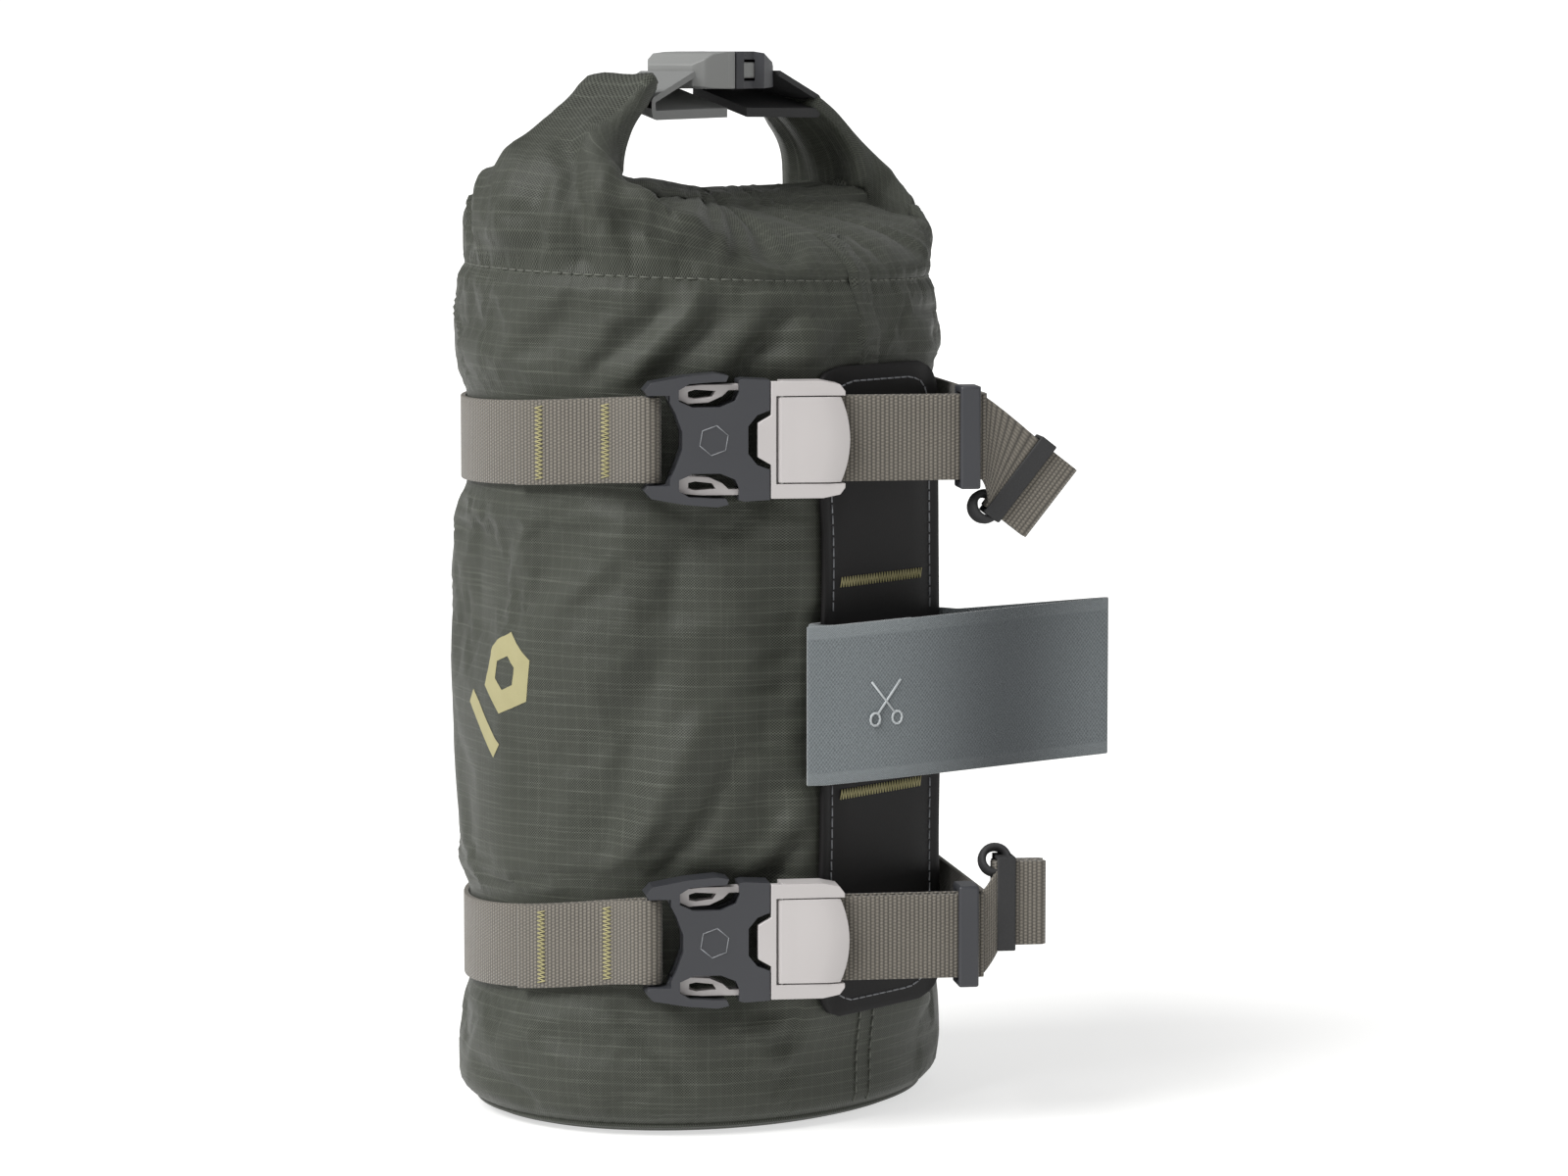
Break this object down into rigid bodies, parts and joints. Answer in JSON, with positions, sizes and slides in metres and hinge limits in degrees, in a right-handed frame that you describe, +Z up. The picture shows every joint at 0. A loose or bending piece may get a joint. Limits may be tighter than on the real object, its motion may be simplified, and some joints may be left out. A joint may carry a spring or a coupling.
{
  "type": "roll-top strap-on bicycle bag",
  "caption": "Upright roll-top fabric bag with a rear panel, buckled webbing straps and a hook-and-loop strap for fixing it to a tube or post.",
  "frame": {"origin": "middle of the base's flat underside", "axes": "+Z up along the bag, +X out of the rear panel, +Y along the roll towards the socket half of the top buckle"},
  "size_m": [0.1929, 0.158, 0.3186],
  "materials": {
    "ripstop": "ripstop nylon with a faint sheen",
    "webbing": "ribbed woven webbing",
    "hook_tape": "woven hook-and-loop tape",
    "rubber": "matt rubber-coated fabric",
    "dark_plastic": "satin moulded acetal",
    "light_plastic": "satin moulded acetal",
    "grey_plastic": "satin moulded acetal",
    "steel": "drawn wire"
  },
  "bodies": {
    "root": {"body_shell": "ripstop", "base_panel": "ripstop", "collar": "ripstop", "roll_top": "ripstop", "roll_stiffener": "grey_plastic", "roll_tab_near": "rubber", "roll_tab_far": "rubber", "top_buckle_female": "dark_plastic", "top_buckle_male": "grey_plastic", "back_panel": "rubber", "hook_strap": "hook_tape", "upper_strap": "webbing", "lower_strap": "webbing", "upper_buckle_female": "dark_plastic", "lower_buckle_female": "dark_plastic", "upper_tail_bundle": "webbing", "lower_tail_bundle": "webbing", "upper_tail_band": "rubber", "lower_tail_band": "rubber"},
    "top_right_prong": {"top_prong_right": "grey_plastic"},
    "top_left_prong": {"top_prong_left": "grey_plastic"},
    "upper_plug": {"upper_buckle_male": "light_plastic", "upper_lever_pin": "steel"},
    "upper_plug_prong_top": {"upper_prong_top": "light_plastic"},
    "upper_plug_prong_bottom": {"upper_prong_bottom": "light_plastic"},
    "upper_lever": {"upper_cam_lever": "light_plastic"},
    "upper_keeper_ring": {"upper_keeper": "dark_plastic"},
    "lower_plug": {"lower_buckle_male": "light_plastic", "lower_lever_pin": "steel"},
    "lower_plug_prong_top": {"lower_prong_top": "light_plastic"},
    "lower_plug_prong_bottom": {"lower_prong_bottom": "light_plastic"},
    "lower_lever": {"lower_cam_lever": "light_plastic"},
    "lower_keeper_ring": {"lower_keeper": "dark_plastic"}
  },
  "joints": [
    {"name": "upper_buckle_release", "type": "slide", "parent": "root", "child": "upper_plug", "axis": [0.6691, 0.7431, 0], "range_m": [0, 0.028]},
    {"name": "upper_squeeze_top", "type": "hinge", "parent": "upper_plug", "child": "upper_plug_prong_top", "pos_m": [0.06596, -0.04257, 0.22225], "axis": [0.7431, -0.6691, 0], "range_deg": [0, 5], "stiffness_Nm_per_rad": 0.05},
    {"name": "upper_squeeze_bottom", "type": "hinge", "parent": "upper_plug", "child": "upper_plug_prong_bottom", "pos_m": [0.06596, -0.04257, 0.19175], "axis": [0.7431, -0.6691, 0], "range_deg": [-5, 0], "stiffness_Nm_per_rad": 0.05},
    {"name": "upper_lever_hinge", "type": "hinge", "parent": "upper_plug", "child": "upper_lever", "pos_m": [0.07053, -0.04467, 0.207], "axis": [0, 0, -1], "range_deg": [0, 65]},
    {"name": "upper_keeper_slide", "type": "slide", "parent": "root", "child": "upper_keeper_ring", "axis": [0.6691, 0.7431, 0], "range_m": [-0.003, 0.0005]},
    {"name": "lower_buckle_release", "type": "slide", "parent": "root", "child": "lower_plug", "axis": [0.6691, 0.7431, 0], "range_m": [0, 0.028]},
    {"name": "lower_squeeze_top", "type": "hinge", "parent": "lower_plug", "child": "lower_plug_prong_top", "pos_m": [0.06596, -0.04257, 0.07525], "axis": [0.7431, -0.6691, 0], "range_deg": [0, 5], "stiffness_Nm_per_rad": 0.05},
    {"name": "lower_squeeze_bottom", "type": "hinge", "parent": "lower_plug", "child": "lower_plug_prong_bottom", "pos_m": [0.06596, -0.04257, 0.04475], "axis": [0.7431, -0.6691, 0], "range_deg": [-5, 0], "stiffness_Nm_per_rad": 0.05},
    {"name": "lower_lever_hinge", "type": "hinge", "parent": "lower_plug", "child": "lower_lever", "pos_m": [0.07053, -0.04467, 0.06], "axis": [0, 0, -1], "range_deg": [0, 65]},
    {"name": "lower_keeper_slide", "type": "slide", "parent": "root", "child": "lower_keeper_ring", "axis": [0.6691, 0.7431, 0], "range_m": [-0.003, 0.0005]},
    {"name": "top_right_squeeze", "type": "hinge", "parent": "root", "child": "top_right_prong", "pos_m": [0.0088, 0.0008, 0.313], "axis": [0, 0, 1], "range_deg": [0, 5], "stiffness_Nm_per_rad": 0.05},
    {"name": "top_left_squeeze", "type": "hinge", "parent": "root", "child": "top_left_prong", "pos_m": [-0.0088, 0.0008, 0.313], "axis": [0, 0, 1], "range_deg": [-5, 0], "stiffness_Nm_per_rad": 0.05}
  ],
  "couplings": [
    {"joint": "top_left_squeeze", "follows": "top_right_squeeze", "ratio": -1},
    {"joint": "upper_squeeze_bottom", "follows": "upper_squeeze_top", "ratio": -1},
    {"joint": "lower_squeeze_bottom", "follows": "lower_squeeze_top", "ratio": -1}
  ]
}
